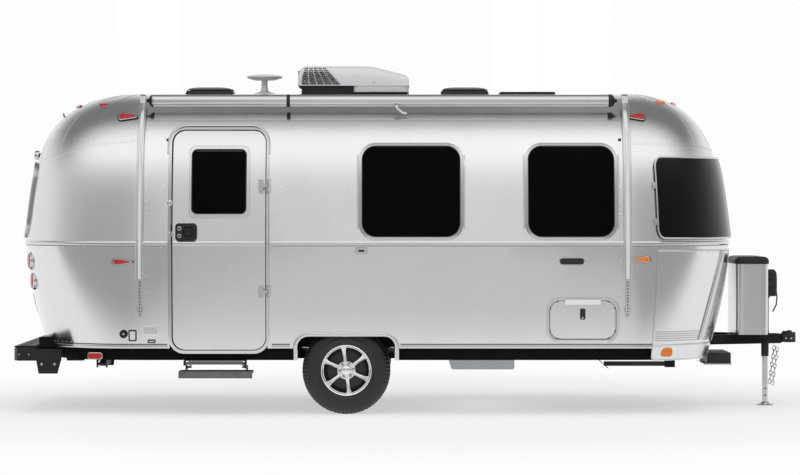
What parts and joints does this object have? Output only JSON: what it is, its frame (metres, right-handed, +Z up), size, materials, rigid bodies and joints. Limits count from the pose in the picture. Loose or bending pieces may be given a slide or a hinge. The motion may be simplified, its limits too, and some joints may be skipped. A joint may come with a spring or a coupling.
{
  "type": "travel caravan",
  "caption": "Single-axle travel caravan with a rounded riveted aluminium body, a side entry door, a roller awning, roof unit, fold-out step and a drawbar with gas cover and jack.",
  "frame": {"origin": "on the ground under the middle of the whole caravan", "axes": "+X towards the hitch, -Y towards the entry door, +Z up"},
  "size_m": [6.5772, 2.4928, 2.89],
  "materials": {
    "bright_skin": "mirror-like riveted aluminium skin, softly waved",
    "door_skin": "satin riveted aluminium skin",
    "plywood": "oiled plywood",
    "dark_pan": "dusty black underseal",
    "black_steel": "black chassis paint",
    "bright_trim": "satin extruded aluminium",
    "dark_glass": "dark tinted glass",
    "white_plastic": "white semi-gloss",
    "lamp_lens": "moulded lens",
    "bumper_metal": "satin folded sheet",
    "grey_tank": "moulded polyethylene",
    "black_plastic": "grained moulded plastic",
    "zinc": "zinc plated steel",
    "leg_steel": "dark powder coat",
    "step_steel": "black powder coat with grit strips",
    "smoked_plastic": "smoked acrylic",
    "tyre": "black rubber",
    "machined_alloy": "machined cast alloy"
  },
  "bodies": {
    "body": {"kerb_wall_lower": "bright_skin", "kerb_wall_upper": "bright_skin", "street_wall_lower": "bright_skin", "street_wall_upper": "bright_skin", "roof_shell": "bright_skin", "rear_cap_lower": "bright_skin", "rear_cap_upper": "bright_skin", "front_cap_lower": "bright_skin", "front_cap_upper": "bright_skin", "floor_panel": "plywood", "belly_pan": "dark_pan", "chassis_rails": "black_steel", "cross_members": "black_steel", "drawbar": "black_steel", "axle": "black_steel", "wheel_wells": "dark_pan", "window_frames": "bright_trim", "window_panes": "dark_glass", "stone_guards": "bright_trim", "door_frame": "bright_trim", "grab_handle": "bright_trim", "awning_roller": "white_plastic", "awning_arms": "white_plastic", "air_conditioner": "white_plastic", "dome_antenna": "white_plastic", "roof_vents": "white_plastic", "lamps": "lamp_lens", "rear_bumper": "bumper_metal", "belly_tank": "grey_tank", "gas_cover": "bright_skin", "gas_cover_cap": "black_plastic", "tongue_jack": "black_plastic", "coupler": "black_steel", "safety_chains": "zinc", "stabiliser_mounts": "black_steel", "step_frame": "black_steel"},
    "entry_door": {"entry_door": "door_skin", "door_window": "dark_glass", "door_latch": "black_plastic"},
    "storage_hatch": {"storage_hatch": "bright_skin"},
    "bumper_lid": {"bumper_lid": "bumper_metal"},
    "jack_leg": {"jack_leg": "zinc"},
    "front_left_leg": {"front_left_leg": "leg_steel"},
    "front_right_leg": {"front_right_leg": "leg_steel"},
    "rear_left_leg": {"rear_left_leg": "leg_steel"},
    "rear_right_leg": {"rear_right_leg": "leg_steel"},
    "step_front_arms": {"step_front_arms": "step_steel"},
    "step_rear_arms": {"step_rear_arms": "step_steel"},
    "step_tread": {"step_tread": "step_steel"},
    "rear_vent_lid": {"rear_vent_lid": "smoked_plastic"},
    "front_vent_lid": {"front_vent_lid": "smoked_plastic"},
    "left_wheel": {"left_tyre": "tyre", "left_rim": "machined_alloy"},
    "right_wheel": {"right_tyre": "tyre", "right_rim": "machined_alloy"}
  },
  "joints": [
    {"name": "left_wheel_spin", "type": "hinge", "parent": "body", "child": "left_wheel", "pos_m": [-0.5335, 0.995, 0.36], "axis": [0, 1, 0], "continuous": true},
    {"name": "right_wheel_spin", "type": "hinge", "parent": "body", "child": "right_wheel", "pos_m": [-0.5335, -0.995, 0.36], "axis": [0, 1, 0], "continuous": true},
    {"name": "door_hinge", "type": "hinge", "parent": "body", "child": "entry_door", "pos_m": [-1.176, -1.236, 1.4], "axis": [0, 0, 1], "range_deg": [0, 170]},
    {"name": "hatch_hinge", "type": "hinge", "parent": "body", "child": "storage_hatch", "pos_m": [1.392, -1.214, 0.94], "axis": [-1, 0, 0], "range_deg": [0, 105]},
    {"name": "bumper_lid_hinge", "type": "hinge", "parent": "body", "child": "bumper_lid", "pos_m": [-3.1, 0, 0.549], "axis": [0, 1, 0], "range_deg": [0, 50]},
    {"name": "jack_slide", "type": "slide", "parent": "body", "child": "jack_leg", "axis": [0, 0, 1], "range_m": [0, 0.36]},
    {"name": "front_left_leg_hinge", "type": "hinge", "parent": "body", "child": "front_left_leg", "pos_m": [2.1, 0.96, 0.408], "axis": [0, -1, 0], "range_deg": [0, 42]},
    {"name": "front_right_leg_hinge", "type": "hinge", "parent": "body", "child": "front_right_leg", "pos_m": [2.1, -0.96, 0.408], "axis": [0, -1, 0], "range_deg": [0, 42]},
    {"name": "rear_left_leg_hinge", "type": "hinge", "parent": "body", "child": "rear_left_leg", "pos_m": [-2.538, 0.98, 0.408], "axis": [1, 0, 0], "range_deg": [0, 42]},
    {"name": "rear_right_leg_hinge", "type": "hinge", "parent": "body", "child": "rear_right_leg", "pos_m": [-2.538, -0.98, 0.408], "axis": [-1, 0, 0], "range_deg": [0, 42]},
    {"name": "step_fold", "type": "hinge", "parent": "body", "child": "step_front_arms", "pos_m": [-1.6, -1.205, 0.424], "axis": [-1, 0, 0], "range_deg": [0, 103]},
    {"name": "step_rear_fold", "type": "hinge", "parent": "body", "child": "step_rear_arms", "pos_m": [-1.6, -1.105, 0.424], "axis": [-1, 0, 0], "range_deg": [0, 103]},
    {"name": "step_level", "type": "hinge", "parent": "step_front_arms", "child": "step_tread", "pos_m": [-1.6, -0.9947, 0.3793], "axis": [-1, 0, 0], "range_deg": [-103, 0]},
    {"name": "rear_vent_hinge", "type": "hinge", "parent": "body", "child": "rear_vent_lid", "pos_m": [-1.519, 0, 2.692], "axis": [0, 1, 0], "range_deg": [0, 70]},
    {"name": "front_vent_hinge", "type": "hinge", "parent": "body", "child": "front_vent_lid", "pos_m": [0.645, 0, 2.692], "axis": [0, 1, 0], "range_deg": [0, 70]}
  ],
  "couplings": [
    {"joint": "step_rear_fold", "follows": "step_fold", "ratio": 1},
    {"joint": "step_level", "follows": "step_fold", "ratio": -1}
  ]
}
